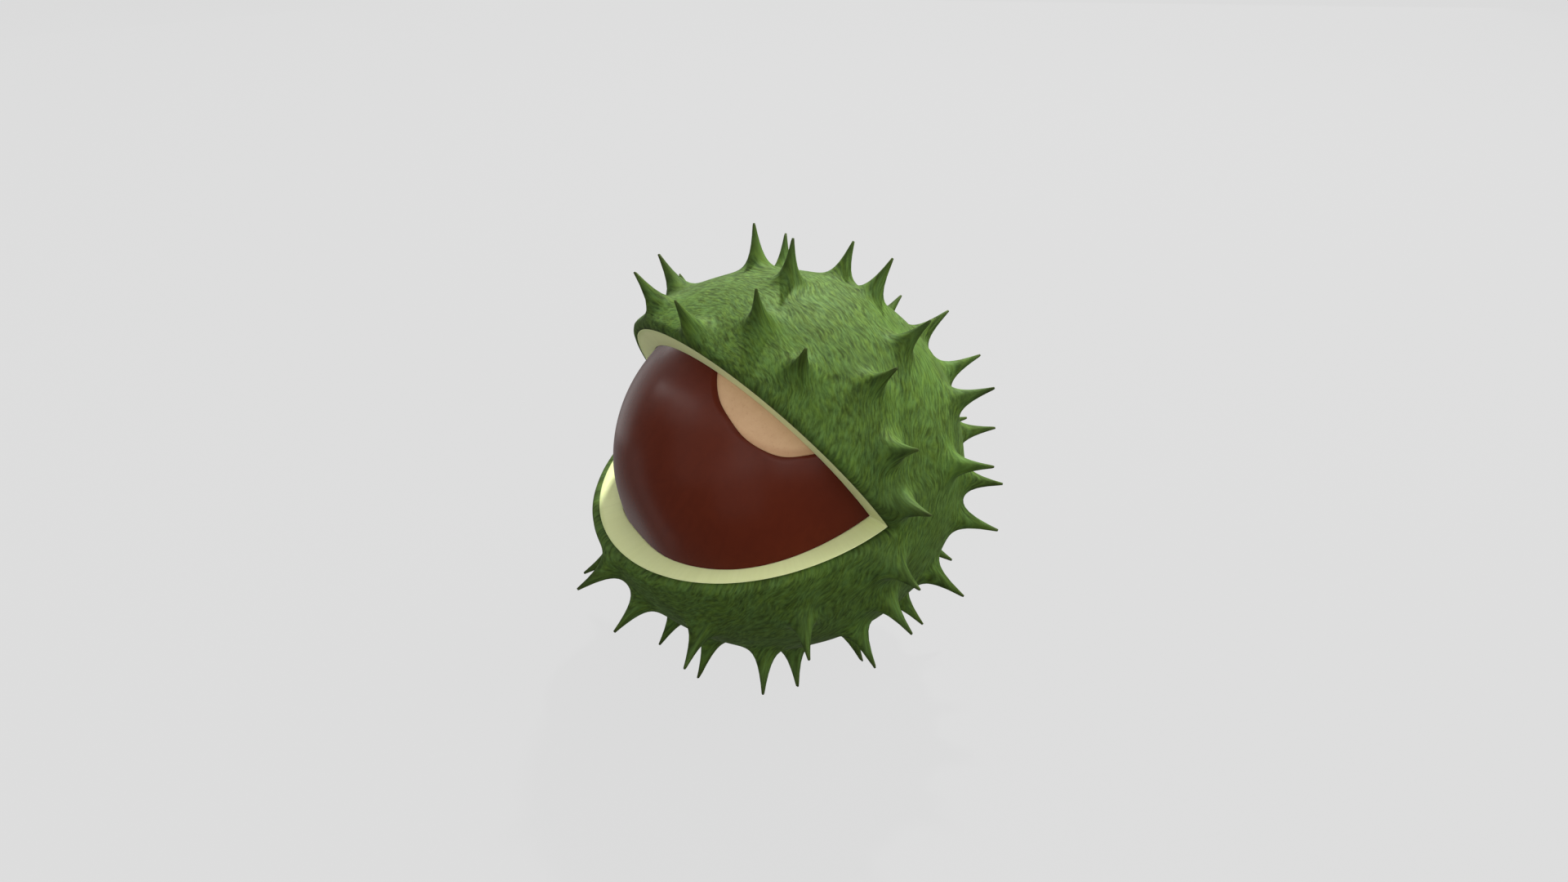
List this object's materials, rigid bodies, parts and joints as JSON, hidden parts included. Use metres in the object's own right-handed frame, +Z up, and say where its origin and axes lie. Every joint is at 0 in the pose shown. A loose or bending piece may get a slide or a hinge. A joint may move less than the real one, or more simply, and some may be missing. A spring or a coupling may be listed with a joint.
{
  "type": "chestnut in its husk",
  "caption": "Ripe brown nut with a pale scar, lying in a round green spiny husk of cream flesh that has split open in a wide wedge at one side.",
  "frame": {"origin": "on the resting surface, at the flat tip of the low spine straight under the husk's centre", "axes": "+Z up, -Y the side that the mouth opens to, +X along the line between the mouth's two corners"},
  "size_m": [0.0579, 0.0554, 0.0557],
  "materials": {
    "green_skin": "matte, finely streaked green skin",
    "cream_flesh": "matte, smooth, faintly fibrous flesh",
    "brown_shell": "polished, satin gloss, dark red-brown",
    "pale_scar": "matte, dry, pale tan"
  },
  "bodies": {
    "root": {"husk_rind": "green_skin", "husk_flesh": "cream_flesh", "chestnut": "brown_shell", "chestnut_scar": "pale_scar"}
  },
  "joints": []
}
